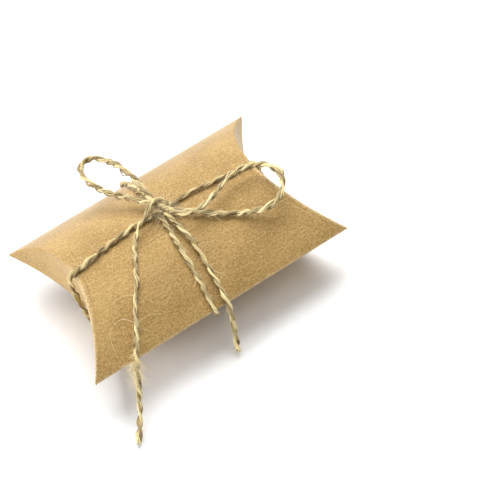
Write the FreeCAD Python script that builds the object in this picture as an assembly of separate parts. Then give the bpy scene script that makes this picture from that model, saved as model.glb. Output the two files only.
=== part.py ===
import FreeCAD, Part
import math
import os

from FreeCAD import Vector

# Pillow box folded from one kraft card blank and tied like a parcel with jute twine.
# X runs along the box, Y from the front fold to the back fold, Z up. The origin is under
# the middle of the box, on the surface that it stands on. All sizes are millimetres.

# Card box
box_length = 90.0  # ear tip to ear tip along X
box_width = 65.0  # front fold to back fold along Y
box_height = 25.0  # crown of the bottom panel to crown of the top panel
card = 0.5  # thickness of the card
fold_clearance = 0.1  # end of the top panel to the outer flap that folds off it
flap_gap = 0.15  # outer flap to the inner flap behind it
outer_flap_edge_gap = 0.4  # free edge of the outer flap to the bottom fold
inner_flap_seat = 0.15  # foot of the inner flap to the bottom panel
inner_flap_swing_gap = 0.6  # top of the inner flap to the top panel
inner_flap_ear_setback = 4.0  # tips of the inner flap to the side folds
glue_flap_width = 10.0  # seam tab, measured across the box
glue_flap_setback = 3.0  # ends of the seam tab to the ends of the panel
glue_line = 0.05  # film of glue between the seam tab and the top panel
seam_gap = 0.1  # cut edge of the seam tab to the back fold

# Twine
twine = 2.0  # diameter
twine_sides = 8  # flat faces round the twine
twine_gap = 0.25  # twine to the card under it
fold_turn = 1.6  # radius of the twine's centre line where it goes round a fold
standing_flat = 0.2  # depth pressed flat where the box stands on the twine
crossing_gap = 0.05  # between strands where they cross, and between the pressed halves
cross_x = -2.0  # place of the strand that goes across the box
knot_y = 0.8  # the knot lies a little behind the middle
knot_turn = 1.75  # radius of the turns in the knot, to the middle of the twine
knot_core = 2.25  # radius of the ball of twine inside the knot
knot_steps = 6  # flat steps down the side of that ball
knot_lean = 35.0  # degrees between the two turns of the knot and the box
arc_share = 0.45  # share of the shorter run that each bend of a free strand takes

# Routes of the free strands, as they lie
loop_left_route = [
    Vector(0.1, 1.8, 30.6), Vector(-0.4, 7.4, 31.5), Vector(-0.6, 14.4, 32.7),
    Vector(-1.6, 21.4, 33.1), Vector(-4.4, 28.6, 32.8), Vector(-7.6, 33.8, 32.1),
    Vector(-12.2, 33.0, 31.3), Vector(-13.0, 26.0, 30.6), Vector(-9.6, 17.0, 30.1),
    Vector(-4.8, 9.8, 29.8), Vector(-1.9, 2.6, 29.3),
]
loop_right_route = [
    Vector(1.2, -0.2, 30.6), Vector(2.8, -4.6, 31.4), Vector(5.4, -8.8, 31.6),
    Vector(9.8, -9.8, 31.6), Vector(15.0, -8.0, 31.7), Vector(20.6, -5.5, 31.9),
    Vector(27.0, -4.6, 32.3), Vector(33.0, -6.6, 32.3), Vector(36.4, -11.2, 32.2),
    Vector(35.0, -17.8, 31.9), Vector(30.4, -21.4, 30.0), Vector(25.4, -20.0, 28.0),
    Vector(20.4, -16.2, 26.8), Vector(15.4, -12.4, 27.1), Vector(10.6, -8.4, 27.9),
    Vector(6.4, -4.8, 28.5), Vector(2.6, -1.0, 29.0),
]
tail_left_route = [
    Vector(-1.6, 0.7, 30.8), Vector(-4.8, 0.4, 31.3), Vector(-8.4, -1.4, 30.6),
    Vector(-11.8, -5.0, 29.0), Vector(-15.0, -9.8, 27.7), Vector(-17.2, -14.4, 26.5),
    Vector(-20.0, -18.6, 25.0), Vector(-23.2, -22.9, 22.9), Vector(-25.2, -26.5, 20.9),
    Vector(-27.6, -29.6, 18.9), Vector(-30.0, -32.9, 17.0), Vector(-32.4, -35.9, 13.6),
    Vector(-34.4, -38.4, 9.6), Vector(-36.8, -41.1, 5.8), Vector(-39.8, -44.6, 2.7),
    Vector(-42.8, -48.6, 1.2),
]
tail_right_route = [
    Vector(0.8, -1.2, 29.7), Vector(1.3, -6.4, 29.4), Vector(2.4, -11.6, 27.6),
    Vector(2.5, -17.4, 25.3), Vector(2.1, -22.4, 23.1), Vector(1.8, -27.6, 20.1),
    Vector(1.4, -31.8, 17.6), Vector(0.7, -34.9, 14.4), Vector(-0.2, -36.1, 9.8),
    Vector(-1.3, -37.4, 5.3), Vector(-3.0, -39.8, 1.5),
]

# Worked out from the sizes above
half_length = box_length / 2
half_width = box_width / 2
rise = box_height / 2
arch = (half_width**2 + rise**2) / (2 * rise)
crest_x = half_length - rise
twine_r = twine / 2
base_z = twine_gap + twine - standing_flat
fold_z = base_z + rise
top_z = base_z + box_height
top_centre_z = top_z - arch
bottom_centre_z = base_z + arch
end_axis_x = crest_x + arch
strand_offset = twine_gap + twine_r
big = 4 * max(box_length, box_width)

os.makedirs("parts", exist_ok=True)


# Helpers


def along_x(radius, centre_z):
    start = Vector(-box_length, 0, centre_z)
    return Part.makeCylinder(radius, 2 * box_length, start, Vector(1, 0, 0))


def end_cylinder(radius, side):
    start = Vector(side * end_axis_x, 0, base_z - box_height)
    return Part.makeCylinder(radius, 3 * box_height, start, Vector(0, 0, 1))


def slab_above(z):
    return Part.makeBox(2 * big, 2 * big, big, Vector(-big, -big, z))


def slab_below(z):
    return Part.makeBox(2 * big, 2 * big, big, Vector(-big, -big, z - big))


def only_solid(shape):
    return max(shape.Solids, key=lambda solid: solid.Volume)


def drop(radius, y):
    return radius - math.sqrt(radius**2 - y**2)


def save(name, shape):
    solid = only_solid(shape.removeSplitter())
    solid.exportStep("parts/" + name + ".step")
    print(name, "volume", round(solid.Volume, 2), "valid", solid.isValid())
    return solid


# Card panels


def arched_shell(outer, inner, centre_z, half_space):
    return along_x(outer, centre_z).cut(along_x(inner, centre_z)).common(half_space)


def box_span():
    corner = Vector(-half_length, -box_width, 0)
    return Part.makeBox(box_length, 2 * box_width, big, corner)


def trim_ends(shape, radius):
    for side in (-1, 1):
        shape = shape.cut(end_cylinder(radius, side))
    return shape


def top_panel():
    shell = arched_shell(arch, arch - card, top_centre_z, slab_above(fold_z))
    return trim_ends(shell.common(box_span()), arch + card + fold_clearance)


def bottom_panel():
    shell = arched_shell(arch, arch - card, bottom_centre_z, slab_below(fold_z))
    return trim_ends(shell.common(box_span()), arch + card + flap_gap)


def glue_flap():
    face = arch - card - glue_line
    shell = arched_shell(face, face - card, top_centre_z, slab_above(fold_z + seam_gap))
    corner = Vector(-half_length, half_width - glue_flap_width, 0)
    strip = Part.makeBox(box_length, glue_flap_width, big, corner)
    return trim_ends(shell.common(strip), arch + card + fold_clearance + glue_flap_setback)


# End flaps, curved like the panels so that they bow into the box


def outer_flap(side):
    sheet = end_cylinder(arch + card, side).cut(end_cylinder(arch, side))
    upper = along_x(arch, top_centre_z)
    lower = along_x(arch - outer_flap_edge_gap, bottom_centre_z)
    near_end = Part.makeBox(box_length, big, big, Vector(0, -big / 2, -big / 2))
    if side < 0:
        near_end.translate(Vector(-box_length, 0, 0))
    return sheet.common(upper).common(lower).common(near_end)


def inner_flap(side):
    face = arch + card + flap_gap
    sheet = end_cylinder(face + card, side).cut(end_cylinder(face, side))
    foot_radius = arch - card - inner_flap_seat
    foot = along_x(foot_radius, bottom_centre_z)
    tip_y = half_width - inner_flap_ear_setback
    tip_z = bottom_centre_z - foot_radius + drop(foot_radius, tip_y)
    peak_z = top_z - card - inner_flap_swing_gap
    edge_rise = peak_z - tip_z
    edge_radius = (tip_y**2 + edge_rise**2) / (2 * edge_rise)
    edge = along_x(edge_radius, peak_z - edge_radius)
    near_end = Part.makeBox(box_length, 2 * tip_y, big, Vector(0, -tip_y, -big / 2))
    if side < 0:
        near_end.translate(Vector(-box_length, 0, 0))
    return sheet.common(foot).common(edge).common(near_end)


# Twine


def twine_section(start, heading):
    across = heading.cross(Vector(0, 0, 1))
    across.normalize()
    above = across.cross(heading)
    points = []
    for corner in range(twine_sides + 1):
        angle = 2 * math.pi * (corner + 0.5) / twine_sides
        points.append(start + (across * math.cos(angle) + above * math.sin(angle)) * twine_r)
    return Part.makePolygon(points)


def tube(edges):
    path = Part.Wire(edges)
    first = path.OrderedEdges[0]
    start = first.valueAt(first.FirstParameter)
    section = twine_section(start, first.tangentAt(first.FirstParameter))
    shape = path.makePipeShell([section], True, False)
    area = Part.Face(section).Area
    print("tube volume", round(shape.Volume, 2), "section times length", round(area * path.Length, 2))
    return shape


def line(start, end):
    return Part.LineSegment(start, end).toShape()


def bend(start, middle, end):
    return Part.Arc(start, middle, end).toShape()


def free_strand(name, route):
    edges = []
    radii = []
    start = route[0]
    for before, corner, after in zip(route, route[1:], route[2:]):
        into = corner - before
        out = after - corner
        turn = into.getAngle(out)
        reach = arc_share * min(into.Length, out.Length)
        into.normalize()
        out.normalize()
        radius = reach / math.tan(turn / 2)
        inward = out - into
        inward.normalize()
        arc_start = corner - into * reach
        arc_end = corner + out * reach
        middle = corner + inward * (radius / math.cos(turn / 2) - radius)
        edges.append(line(start, arc_start))
        edges.append(bend(arc_start, middle, arc_end))
        radii.append(radius)
        start = arc_end
    edges.append(line(start, route[-1]))
    length = sum(edge.Length for edge in edges)
    print(name, "length", round(length, 1), "bend radii", [round(radius, 1) for radius in radii])
    return tube(edges)


def knot():
    lift = knot_turn + twine_r
    centre = Vector(0, knot_y, top_z + twine_gap + lift)
    upright = Vector(0, 0, 1)
    profile = []
    for corner in range(knot_steps + 1):
        angle = math.pi * corner / knot_steps
        profile.append(centre + Vector(math.sin(angle), 0, -math.cos(angle)) * knot_core)
    profile.append(profile[0])
    shape = Part.Face(Part.makePolygon(profile)).revolve(centre, upright, 360)
    for lean in (knot_lean, -knot_lean):
        angle = math.radians(lean)
        axis = Vector(math.cos(angle), math.sin(angle), 0)
        section = twine_section(centre + upright * knot_turn, axis.cross(upright))
        shape = shape.fuse(Part.Face(section).revolve(centre, axis, 360))
    return shape


strand_top_z = top_z + strand_offset
strand_under_z = base_z - strand_offset
strand_end_x = crest_x + strand_offset
turn_x = strand_end_x - fold_turn
wrap_radius = arch + strand_offset
turn_y = math.sqrt((wrap_radius - fold_turn) ** 2 - (fold_z - top_centre_z) ** 2)
diagonal = fold_turn * math.sqrt(0.5)


def top_strand(side):
    return tube([line(Vector(0, 0, strand_top_z), Vector(side * turn_x, 0, strand_top_z))])


def end_span(side):
    upper_z = strand_top_z - fold_turn
    lower_z = strand_under_z + fold_turn
    outer_x = side * strand_end_x
    edges = [
        bend(
            Vector(side * turn_x, 0, strand_top_z),
            Vector(side * (turn_x + diagonal), 0, upper_z + diagonal),
            Vector(outer_x, 0, upper_z),
        ),
        line(Vector(outer_x, 0, upper_z), Vector(outer_x, 0, lower_z)),
        bend(
            Vector(outer_x, 0, lower_z),
            Vector(side * (turn_x + diagonal), 0, lower_z - diagonal),
            Vector(side * turn_x, 0, strand_under_z),
        ),
    ]
    return tube(edges)


# Points of the strand across the box: up is 1 on the top panel and -1 on the bottom panel,
# face is -1 at the front fold and 1 at the back fold


def wrap_point(up, y):
    height = math.sqrt(wrap_radius**2 - y**2) - (fold_z - top_centre_z)
    return Vector(cross_x, y, fold_z + up * height)


def fold_bend(face, up):
    touch_y = turn_y * wrap_radius / (wrap_radius - fold_turn)
    touch = wrap_point(up, face * touch_y)
    outermost = Vector(cross_x, face * (turn_y + fold_turn), fold_z)
    middle = Vector(cross_x, face * turn_y, fold_z)
    toward = (touch - middle) + (outermost - middle)
    toward.normalize()
    return touch, bend(touch, middle + toward * fold_turn, outermost)


def side_strand(face):
    touch, turn = fold_bend(face, 1)
    start = wrap_point(1, face * (twine_r + crossing_gap))
    middle = wrap_point(1, (start.y + touch.y) / 2)
    return tube([bend(start, middle, touch), turn])


def under_crosswise():
    front_touch, front_turn = fold_bend(-1, -1)
    back_touch, back_turn = fold_bend(1, -1)
    sweep = bend(front_touch, wrap_point(-1, 0), back_touch)
    return tube([front_turn, sweep, back_turn])


def under_lengthwise():
    return tube([line(Vector(-turn_x, 0, strand_under_z), Vector(turn_x, 0, strand_under_z))])


def crossing_block(centre_z):
    half = twine_r + crossing_gap
    corner = Vector(cross_x - half, -half, centre_z)
    return Part.makeBox(2 * half, 2 * half, twine, corner)


# Card pieces

save("top_panel", top_panel())
save("bottom_panel", bottom_panel())
save("glue_flap", glue_flap())
for side_name, side in (("left", -1), ("right", 1)):
    save(side_name + "_outer_flap", outer_flap(side))
    save(side_name + "_inner_flap", inner_flap(side))

# Wrap: the underside strands are pressed to half their thickness where they cross, and flat
# where the box stands on them

standing = slab_above(0)
lower_half = crossing_block(strand_under_z + crossing_gap / 2 - twine)
upper_half = crossing_block(strand_under_z - crossing_gap / 2)
save("twine_under_lengthwise", under_lengthwise().cut(lower_half).common(standing))
save("twine_under_crosswise", under_crosswise().cut(upper_half).common(standing))
for side_name, side in (("left", -1), ("right", 1)):
    save("twine_" + side_name + "_end", end_span(side).common(standing))

# Bow: every strand at the knot is trimmed to what it meets there

placed = [save("bow_knot", knot())]


def save_trimmed(name, shape):
    for neighbour in placed:
        shape = only_solid(shape.cut(neighbour))
    placed.append(save(name, shape))


save_trimmed("twine_top_left", top_strand(-1))
save_trimmed("twine_top_right", top_strand(1))
save_trimmed("twine_front", side_strand(-1))
save_trimmed("twine_back", side_strand(1))
save_trimmed("bow_tail_left", free_strand("bow_tail_left", tail_left_route))
save_trimmed("bow_tail_right", free_strand("bow_tail_right", tail_right_route))
save_trimmed("bow_loop_left", free_strand("bow_loop_left", loop_left_route))
save_trimmed("bow_loop_right", free_strand("bow_loop_right", loop_right_route))
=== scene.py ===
import math

import bpy
import numpy as np
from mathutils import Matrix, Vector


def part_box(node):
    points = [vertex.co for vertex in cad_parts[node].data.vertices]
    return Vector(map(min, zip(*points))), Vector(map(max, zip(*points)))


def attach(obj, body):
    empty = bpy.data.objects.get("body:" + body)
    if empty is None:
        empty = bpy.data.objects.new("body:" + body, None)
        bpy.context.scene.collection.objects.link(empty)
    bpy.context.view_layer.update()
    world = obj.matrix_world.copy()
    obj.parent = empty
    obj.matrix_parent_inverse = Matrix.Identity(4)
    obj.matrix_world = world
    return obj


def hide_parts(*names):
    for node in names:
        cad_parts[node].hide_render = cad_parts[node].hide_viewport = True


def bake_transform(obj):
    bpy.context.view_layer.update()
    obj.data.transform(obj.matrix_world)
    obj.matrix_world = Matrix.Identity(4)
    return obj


# Pillow box folded from one kraft card blank, tied like a parcel with jute twine.
# Everything is in metres in the part's own frame: X along the box, Y from front to back, Z up.

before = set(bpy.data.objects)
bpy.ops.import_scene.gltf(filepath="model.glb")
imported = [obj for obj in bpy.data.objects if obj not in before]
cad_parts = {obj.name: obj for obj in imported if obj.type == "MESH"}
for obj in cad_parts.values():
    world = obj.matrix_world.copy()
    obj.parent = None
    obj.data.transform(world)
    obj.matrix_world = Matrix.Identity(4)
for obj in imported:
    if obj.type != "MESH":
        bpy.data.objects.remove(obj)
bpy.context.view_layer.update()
mm = 0.001
print("frame loaded:", len(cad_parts), "nodes")

# sizes read from the frame
topLow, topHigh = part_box("top_panel")
foldZ = topLow.z
crownZ = topHigh.z
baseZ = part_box("bottom_panel")[0].z
halfWidth = topHigh.y
boxRise = crownZ - foldZ
archRadius = (halfWidth**2 + boxRise**2) / (2 * boxRise)
archCentreZ = crownZ - archRadius


# node and mesh helpers


def setInputs(tree, node, values):
    # a constant is set on its socket, and another node's output is linked to it
    for key, value in values.items():
        if isinstance(value, bpy.types.NodeSocket):
            tree.links.new(value, node.inputs[key])
        else:
            node.inputs[key].default_value = value


def addNode(tree, kind, settings=None, inputs=None):
    node = tree.nodes.new(kind)
    for key, value in (settings or {}).items():
        setattr(node, key, value)
    setInputs(tree, node, inputs or {})
    return node


def newMaterial(name):
    material = bpy.data.materials.new(name)
    material.use_nodes = True
    tree = material.node_tree
    return material, tree, tree.nodes["Principled BSDF"]


def ramp(tree, source, stops):
    node = addNode(tree, "ShaderNodeValToRGB", inputs={"Fac": source})
    for element, (place, grey) in zip(node.color_ramp.elements, stops):
        element.position = place
        element.color = (grey, grey, grey, 1)
    return node.outputs["Color"]


def mixColour(tree, factor, below, above):
    values = {0: factor, 6: below, 7: above}  # the sockets for colours
    return addNode(tree, "ShaderNodeMix", {"data_type": "RGBA"}, values).outputs[2]


def combine(tree, operation, first, second):
    return addNode(tree, "ShaderNodeMath", {"operation": operation}, {0: first, 1: second}).outputs[0]


def scaled(tree, source, scale, turn=0.0, shift=0.0):
    values = {"Vector": source, "Scale": scale, "Rotation": (0, 0, turn), "Location": (shift, shift, shift)}
    return addNode(tree, "ShaderNodeMapping", inputs=values).outputs["Vector"]


def noiseAt(tree, vector, scale, detail=2.0, rough=0.5, output="Fac"):
    values = {"Vector": vector, "Scale": scale, "Detail": detail, "Roughness": rough}
    return addNode(tree, "ShaderNodeTexNoise", inputs=values).outputs[output]


def bumpFrom(tree, height, distance, strength=1.0, normal=None):
    values = {"Height": height, "Distance": distance, "Strength": strength}
    if normal is not None:
        values["Normal"] = normal
    return addNode(tree, "ShaderNodeBump", inputs=values).outputs["Normal"]


def markOf(tree, name, output="Fac"):
    return addNode(tree, "ShaderNodeAttribute", {"attribute_name": name}).outputs[output]


def finishOf(facts):
    # values that are the same all over a surface
    sockets = {
        "rough": "Roughness",
        "gloss": "Specular IOR Level",
        "sheen": "Sheen Weight",
        "sheenRough": "Sheen Roughness",
    }
    return {socket: facts[key] for key, socket in sockets.items() if key in facts}


def objectPlace(tree):
    return addNode(tree, "ShaderNodeTexCoord").outputs["Object"]


def addToScene(item):
    bpy.context.scene.collection.objects.link(item)


def meshPiece(name, verts, faces, materials, faceMaterial=None, uv=None, marks=None):
    mesh = bpy.data.meshes.new(name)
    mesh.from_pydata(np.asarray(verts).tolist(), [], faces)
    for material in materials:
        mesh.materials.append(material)
    mesh.polygons.foreach_set("use_smooth", np.ones(len(mesh.polygons), bool))
    if faceMaterial is not None:
        mesh.polygons.foreach_set("material_index", np.asarray(faceMaterial, np.int32))
    if uv is not None:
        corner = np.zeros(len(mesh.loops), np.int32)
        mesh.loops.foreach_get("vertex_index", corner)
        layer = mesh.uv_layers.new(name="surface")
        layer.data.foreach_set("uv", np.asarray(uv, np.float32)[corner].ravel())
    for key, values in (marks or {}).items():
        values = np.asarray(values, np.float32)
        kind, field = ("FLOAT", "value") if values.ndim == 1 else ("FLOAT_VECTOR", "vector")
        mesh.attributes.new(key, kind, "POINT").data.foreach_set(field, values.ravel())
    mesh.update()
    piece = bpy.data.objects.new(name, mesh)
    addToScene(piece)
    return piece


def onBox(piece, node):
    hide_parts(node)
    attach(piece, "box")


def unit(vectors):
    return vectors / np.linalg.norm(vectors, axis=-1, keepdims=True)


def lengthAlong(points):
    return np.concatenate([[0], np.cumsum(np.linalg.norm(np.diff(points, axis=0), axis=1))])


# kraft card

kraft = {
    "light": (0.50, 0.318, 0.102, 1),
    "dark": (0.295, 0.170, 0.038, 1),
    "fibre": (0.72, 0.54, 0.26, 1),
    "speck": (0.24, 0.135, 0.04, 1),
    # pale of worn long folds, also used as a painted highlight on the crease lips
    "wornAndHighlitFold": (0.84, 0.67, 0.41, 1),
    # brown painted shade of the score groove
    "scorePaintedShade": (0.27, 0.145, 0.05, 1),
    "rough": 0.75,
    "gloss": 0.5,
    "sheen": 0.32,
    "sheenRough": 0.45,
    # patterns are per metre, and a range gives the ends of a ramp
    "cloud": 70,
    "cloudShift": 0.685,
    "mottle": 1500,
    "mottleShare": 0.74,  # against the clouds
    "mottleRange": ((0.415, 0), (0.575, 1)),
    "wander": 300,
    "wanderBy": 1.6 * mm,
    # strewn fibres: colour, scale along and across, range, then the turn and shift of each layer
    "strewn": (
        ("fibre", 330, 3600, ((0.65, 0), (0.75, 0.4)), ((0.25, 1.3), (1.1, 4.1), (1.9, 7.7), (2.6, 9.2))),
        ("speck", 561, 2880, ((0.64, 0), (0.76, 0.5)), ((0.7, 2.2), (2.2, 5.5))),
    ),
    "wornAndHighlitRange": ((0.35, 0.1), (0.62, 0.5)),
    "grain": 5200,
    "mottleBump": 0.014 * mm,
    "grainBump": 0.012 * mm,
    "bumpStrength": 0.7,
}

cutEdge = {
    "light": (0.66, 0.52, 0.33, 1),
    "darker": 0.62,  # times the light colour
    "fluff": 2600,  # per metre
    "range": ((0.36, 0), (0.64, 1)),
    "rough": 0.85,
    "bump": 0.05 * mm,
}


def kraftMaterial(name, wearAndHighlight=True):
    material, tree, shader = newMaterial(name)
    surface = addNode(tree, "ShaderNodeUVMap", {"uv_map": "surface"}).outputs["UV"]
    clouded = scaled(tree, surface, (1, 1, 1), shift=kraft["cloudShift"])
    cloud = noiseAt(tree, clouded, kraft["cloud"], detail=3)
    mottle = noiseAt(tree, surface, kraft["mottle"], detail=5, rough=0.62)
    blotch = mixColour(tree, kraft["mottleShare"], cloud, mottle)
    colour = mixColour(tree, ramp(tree, blotch, kraft["mottleRange"]), kraft["dark"], kraft["light"])
    # fibres wander, so the sheet is bent a little before each direction is drawn out
    wander = noiseAt(tree, surface, kraft["wander"], output="Color")
    bend = {0: wander, 1: (kraft["wanderBy"], kraft["wanderBy"], 0), 2: surface}
    bent = addNode(tree, "ShaderNodeVectorMath", {"operation": "MULTIPLY_ADD"}, bend).outputs[0]
    for tint, along, across, stops, layers in kraft["strewn"]:
        for turn, shift in layers:
            drawn = scaled(tree, bent, (along, across, 1), turn, shift)
            hit = ramp(tree, noiseAt(tree, drawn, 1.0, detail=1), stops)
            colour = mixColour(tree, hit, colour, kraft[tint])
    if wearAndHighlight:
        # paler folds: wear on the long folds and a painted highlight on the crease lips, then the score
        # groove's painted shade
        wornAndHighlit = combine(tree, "MULTIPLY", markOf(tree, "foldWearAndHighlight"), ramp(tree, mottle, kraft["wornAndHighlitRange"]))
        colour = mixColour(tree, wornAndHighlit, colour, kraft["wornAndHighlitFold"])
        colour = mixColour(tree, markOf(tree, "scorePaintedShade"), colour, kraft["scorePaintedShade"])
    grain = noiseAt(tree, surface, kraft["grain"], detail=3, rough=0.6)
    uneven = bumpFrom(tree, mottle, kraft["mottleBump"], kraft["bumpStrength"])
    normal = bumpFrom(tree, grain, kraft["grainBump"], kraft["bumpStrength"], uneven)
    setInputs(tree, shader, {"Base Color": colour, "Normal": normal, **finishOf(kraft)})
    return material


def cutEdgeMaterial():
    material, tree, shader = newMaterial("cutCardEdge")
    fluff = noiseAt(tree, objectPlace(tree), cutEdge["fluff"], detail=4, rough=0.65)
    dark = tuple(cutEdge["darker"] * c for c in cutEdge["light"][:3]) + (1,)
    colour = mixColour(tree, ramp(tree, fluff, cutEdge["range"]), dark, cutEdge["light"])
    normal = bumpFrom(tree, fluff, cutEdge["bump"])
    setInputs(tree, shader, {"Base Color": colour, "Normal": normal, **finishOf(cutEdge)})
    return material


kraftCard = kraftMaterial("kraftCard")
kraftInside = kraftMaterial("kraftInside", wearAndHighlight=False)
cutCardEdge = cutEdgeMaterial()


# panels and flaps

card = {
    "thick": 0.5 * mm,
    "halfLength": 45 * mm,  # middle to ear tip
    "earBlunt": 0.6 * mm,
    "foldRound": 0.55 * mm,  # outside radius of the two long folds
    "creaseRound": 0.75 * mm,  # outside radius of the curved end creases
    "creaseShare": 0.8,  # of the height above the folds, where that gives a smaller radius
    "creaseLeast": 0.02 * mm,
    "thinTo": 0.9,  # share of the crease's radius that the card takes up, where that is thinner
    "scoreDepth": 0.07 * mm,
    "scoreIn": 1.35 * mm,  # score line to the crease
    "scoreWide": 0.17 * mm,
    "scoreFade": 2 * mm,  # height above the folds in which the score runs out
    "flapGap": 0.65 * mm,  # outer flap's face to inner flap's face
    "edgeGap": 0.4 * mm,  # outer flap's cut edge to the bottom crease
    "edgeShare": 0.3,  # of the height above the folds, where that gives a smaller gap
    "innerSetback": 4 * mm,  # inner flap's tips to the long folds
    "innerTipRise": 1.2 * mm,
    "innerTopGap": 1.1 * mm,  # inner flap's cut edge to the crown
    "innerLeast": 0.1 * mm,
    "glueWide": 10 * mm,
    "glueSetback": 3.6 * mm,
    "glueGap": 0.05 * mm,
    "bendReach": 9 * mm,  # depth of a flap over which it bends when it is opened
}
crestX = card["halfLength"] - boxRise

cardMesh = {
    "archSteps": 111,
    "foldSteps": 8,
    "creaseSteps": 7,
    "panelColumns": 75,
    # columns beside a crease, crowded where the score line is, in millimetres
    "creaseColumns": (0, 0.12, 0.3, 0.5, 0.75, 0.95, 1.1, 1.22, 1.35, 1.48, 1.6, 1.75, 2.0, 2.4, 3.2),
    "outerFlapRows": 31,
    "innerFlapRows": 27,
    "glueColumns": 61,
}

# the long folds are worn pale, and the crease lips are painted pale as a highlight
rubbedAndHighlit = {
    "foldFrom": 40.5,  # lean of the card in degrees, from which the long folds are rubbed
    "foldOver": 6,
    "creaseFrom": 4 * mm,  # the crease lips carry the painted highlight in front of this Y only
    "creaseOver": 6 * mm,
    "lipWide": 0.5 * mm,
}

# painted shade of the score groove: a brown line beside the front half of the left crease
scorePaintedShadeSpan = {
    "strength": 0.75,
    "backY": 1.5 * mm,
    "backFade": 3 * mm,
    "frontY": -20 * mm,
    "frontFade": 8 * mm,
}

# moves the pattern, so that no two sheets show the same
grainShift = {"inside": 0.37, "bottom": 0.21, "outerFlap": 1, "innerFlap": 3, "glueFlap": 5}


def sheetPiece(name, outer, normal, thick, uv, wearAndHighlight, score=None):
    # a closed sheet of card: outside skin, inside skin and the four cut edges
    rows, columns = outer.shape[:2]
    inner = outer - normal * thick[..., None]
    index = np.arange(rows * columns).reshape(rows, columns)
    a, b, c, d = index[:-1, :-1], index[1:, :-1], index[1:, 1:], index[:-1, 1:]
    out = np.stack([a, b, c, d], -1).reshape(-1, 4)
    back = out[:, ::-1] + index.size
    rims = []
    for border in (index[0, ::-1], index[:, 0], index[-1, :], index[::-1, -1]):
        first, second = border[:-1], border[1:]
        rims.append(np.stack([second, first, first + index.size, second + index.size], -1))
    rims = np.concatenate(rims)
    faces = np.concatenate([out, back, rims]).tolist()
    kinds = np.repeat([0, 1, 2], [len(out), len(back), len(rims)])
    verts = np.concatenate([outer.reshape(-1, 3), inner.reshape(-1, 3)])
    flat = np.concatenate([uv.reshape(-1, 2), uv.reshape(-1, 2) + grainShift["inside"]])
    # the pale fold mark holds wear and painted highlight; the score mark is painted shade
    marks = {"foldWearAndHighlight": wearAndHighlight, "scorePaintedShade": np.zeros_like(wearAndHighlight) if score is None else score}
    marks = {key: np.concatenate([mark.ravel(), np.zeros(index.size)]) for key, mark in marks.items()}
    piece = meshPiece(name, verts, faces, [kraftCard, kraftInside, cutCardEdge], kinds, flat, marks)
    rimEdges = {tuple(sorted(pair)) for face in rims.tolist() for pair in (face[:2], face[2:])}
    sharp = [tuple(sorted(edge.vertices)) in rimEdges for edge in piece.data.edges]
    attribute = piece.data.attributes.new("sharp_edge", "BOOLEAN", "EDGE")
    attribute.data.foreach_set("value", np.asarray(sharp))
    return piece


def foldProfile():
    # upper half of the cross section, from the front fold over the crown to the back fold
    fillet = card["foldRound"]
    filletY = math.sqrt((archRadius - fillet) ** 2 - (foldZ - archCentreZ) ** 2)
    lean = math.asin(filletY / (archRadius - fillet))
    arc = np.linspace(-lean, lean, cardMesh["archSteps"])
    turn = np.linspace(lean, math.pi / 2, cardMesh["foldSteps"])[1:]
    angle = np.concatenate([-turn[::-1], arc, turn])
    y = archRadius * np.sin(angle)
    z = archCentreZ + archRadius * np.cos(angle)
    for side, sign in ((slice(len(turn)), -1), (slice(-len(turn), None), 1)):
        y[side] = sign * filletY + fillet * np.sin(angle[side])
        z[side] = foldZ + fillet * np.cos(angle[side])
    along = np.concatenate([[0], np.cumsum(np.hypot(np.diff(y), np.diff(z)))])
    return angle, y, z, along


# one value for each row of the sheets, from the front fold to the back fold
rowLean, rowY, rowZ, rowAlong = (values[:, None] for values in foldProfile())
rowHeight = rowZ - foldZ
creaseX = np.minimum(crestX + (crownZ - rowZ), card["halfLength"] - card["earBlunt"])
creaseRadius = np.minimum(card["creaseRound"], card["creaseShare"] * rowHeight)
creaseRadius = np.maximum(card["creaseLeast"], creaseRadius)
creaseThick = np.minimum(card["thick"], card["thinTo"] * creaseRadius)
panelNormal = np.stack([np.zeros_like(rowLean), np.sin(rowLean), np.cos(rowLean)], -1)
flapNormal = np.stack([np.cos(rowLean), -np.sin(rowLean), np.zeros_like(rowLean)], -1)
# the long folds are worn paler; the crease lips' painted highlight joins this mark in the panels
foldWearAndHighlight = np.clip((np.abs(np.degrees(rowLean)) - rubbedAndHighlit["foldFrom"]) / rubbedAndHighlit["foldOver"], 0, 1)
# painted highlight on the crease lips, in front only
creaseLipHighlight = np.clip((rubbedAndHighlit["creaseFrom"] - rowY) / rubbedAndHighlit["creaseOver"], 0, 1)

# a crease turns a right angle: the panel has the first half and the flap the second
firstHalf = np.linspace(0, math.pi / 4, cardMesh["creaseSteps"])
secondHalf = math.pi / 4 + firstHalf


def grid(*parts):
    return np.stack(np.broadcast_arrays(*parts), -1)


def creaseNormal(turn, side):
    # turns from the panel's normal to the flap's normal
    mixed = np.cos(turn)[:, None] * panelNormal + np.sin(turn)[:, None] * flapNormal
    return unit(mixed) * (side, 1, 1)


def flapNormals(flatColumns, side):
    return creaseNormal(np.concatenate([secondHalf, np.full(flatColumns, math.pi / 2)]), side)


# a pale band along a lip: wear, and painted highlight where it is limited to the front of the creases
def lipWearAndHighlight(distance):
    return np.clip(1 - distance / rubbedAndHighlit["lipWide"], 0, 1)


def scoreShape(inFromEnd):
    return np.exp(-(((inFromEnd - card["scoreIn"]) / card["scoreWide"]) ** 2))


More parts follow.
